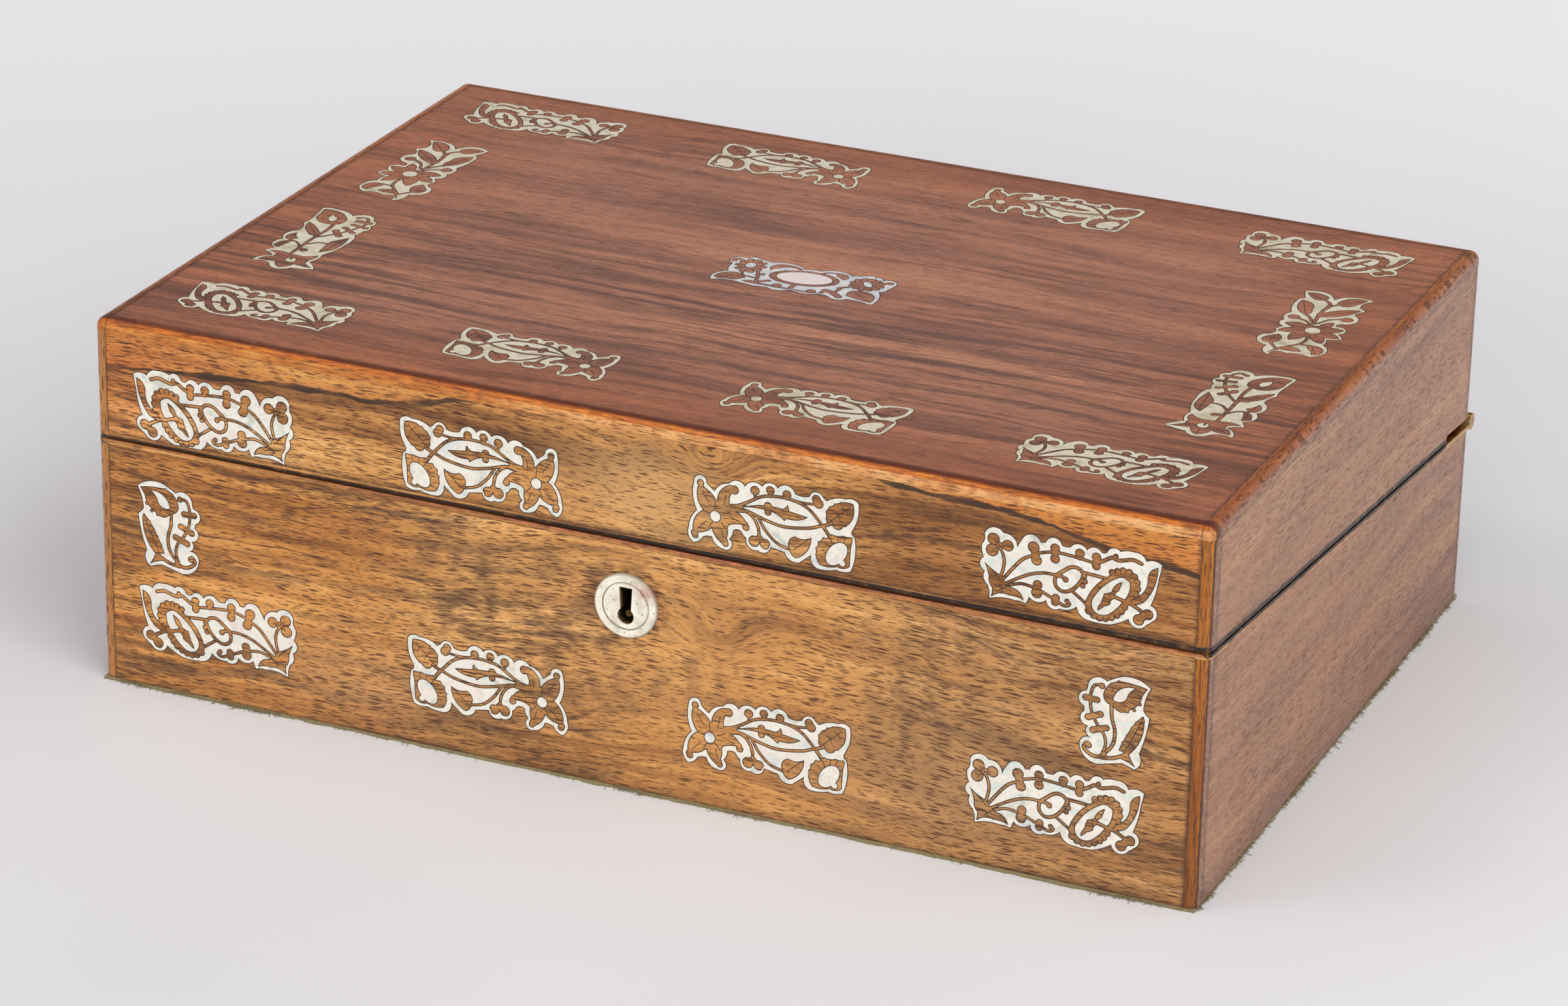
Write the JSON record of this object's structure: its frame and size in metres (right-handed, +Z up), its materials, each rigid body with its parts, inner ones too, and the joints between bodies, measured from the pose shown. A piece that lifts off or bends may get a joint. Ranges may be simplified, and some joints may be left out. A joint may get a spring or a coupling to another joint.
{
  "type": "writing box",
  "caption": "Veneered writing box with foliate pearl inlay and a keyhole plate, split on a slant; hinged lid and leather flaps over ink bottles, pen tray and wells.",
  "frame": {"origin": "centre of the underside of the baize, where the closed box stands", "axes": "+X to the right as one faces the keyhole, +Y from the keyhole to the hinges, +Z up"},
  "size_m": [0.35, 0.2466, 0.117],
  "materials": {
    "rosewood": "worn polish",
    "carcass": "bare",
    "interior_wood": "satin",
    "pearl": "mother-of-pearl",
    "brass": "aged",
    "steel": "dull",
    "glass": "clear",
    "leather": "tooled, worn",
    "baize": "felt"
  },
  "bodies": {
    "base": {"base_back_board": "carcass", "base_back_veneer": "rosewood", "base_baize": "baize", "base_bottom_board": "carcass", "base_corner_strips": "rosewood", "base_flap_ledges": "interior_wood", "base_flap_rail": "interior_wood", "base_front_board": "carcass", "base_front_veneer": "rosewood", "base_hinge_leaves": "brass", "base_left_board": "carcass", "base_pearl_plates": "pearl", "base_right_board": "carcass", "base_rim_facing": "rosewood", "base_screws": "brass", "base_side_veneers": "rosewood", "escutcheon": "pearl", "hinge_pins": "steel", "ink_bottle_collars": "brass", "ink_bottles": "glass", "ink_partitions": "interior_wood", "lock_case": "brass", "lock_drill_pin": "steel", "pen_tray": "interior_wood", "upper_flap_fixed_leaves": "brass", "well_divider": "interior_wood"},
    "lid": {"flap_catch_pivot": "brass", "lid_back_board": "carcass", "lid_back_veneer": "rosewood", "lid_corner_strips": "rosewood", "lid_flap_ledges": "interior_wood", "lid_flap_rail": "interior_wood", "lid_front_board": "carcass", "lid_front_pearl_plates": "pearl", "lid_front_rail": "interior_wood", "lid_front_veneer": "rosewood", "lid_hinge_leaves": "brass", "lid_left_board": "carcass", "lid_right_board": "carcass", "lid_rim_facing": "rosewood", "lid_screws": "brass", "lid_side_veneers": "rosewood", "lid_top_board": "carcass", "lid_top_edging": "rosewood", "lid_top_pearl_plates": "pearl", "lid_top_veneer": "rosewood", "link_plate": "brass", "lower_flap_fixed_leaves": "brass"},
    "upper_flap": {"upper_flap_leather": "leather", "upper_flap_moving_leaves": "brass", "upper_flap_panel": "interior_wood", "upper_flap_tab": "leather"},
    "lower_flap": {"lower_flap_leather": "leather", "lower_flap_moving_leaves": "brass", "lower_flap_panel": "interior_wood", "lower_flap_tab": "leather"},
    "ink_cap_left": {"ink_cap_left": "brass"},
    "ink_cap_right": {"ink_cap_right": "brass"},
    "lock_bolt": {"lock_bolt": "brass"},
    "flap_catch": {"flap_catch": "brass"}
  },
  "joints": [
    {"name": "lid_hinge", "type": "hinge", "parent": "base", "child": "lid", "pos_m": [0, 0.123, 0.0588], "axis": [-1, 0, 0], "range_deg": [0, 180]},
    {"name": "upper_flap_hinge", "type": "hinge", "parent": "base", "child": "upper_flap", "pos_m": [0, 0.09931, 0.0589], "axis": [-1, 0, 0], "range_deg": [0, 81]},
    {"name": "lower_flap_hinge", "type": "hinge", "parent": "lid", "child": "lower_flap", "pos_m": [0, 0.09931, 0.06272], "axis": [1, 0, 0], "range_deg": [0, 81]},
    {"name": "ink_cap_left_turn", "type": "hinge", "parent": "base", "child": "ink_cap_left", "pos_m": [-0.142, -0.084, 0.064], "axis": [0, 0, 1], "continuous": true},
    {"name": "ink_cap_right_turn", "type": "hinge", "parent": "base", "child": "ink_cap_right", "pos_m": [0.142, -0.084, 0.064], "axis": [0, 0, 1], "continuous": true},
    {"name": "lock_bolt_slide", "type": "slide", "parent": "base", "child": "lock_bolt", "axis": [1, 0, 0], "range_m": [0, 0.005]},
    {"name": "flap_catch_turn", "type": "hinge", "parent": "lid", "child": "flap_catch", "pos_m": [0, -0.104, 0.07995], "axis": [0, 0.0845, 0.9964], "range_deg": [0, 90]}
  ],
  "couplings": [
    {"joint": "upper_flap_hinge", "follows": "lid_hinge", "ratio": 0.45},
    {"joint": "lower_flap_hinge", "follows": "lid_hinge", "ratio": 0.45}
  ]
}
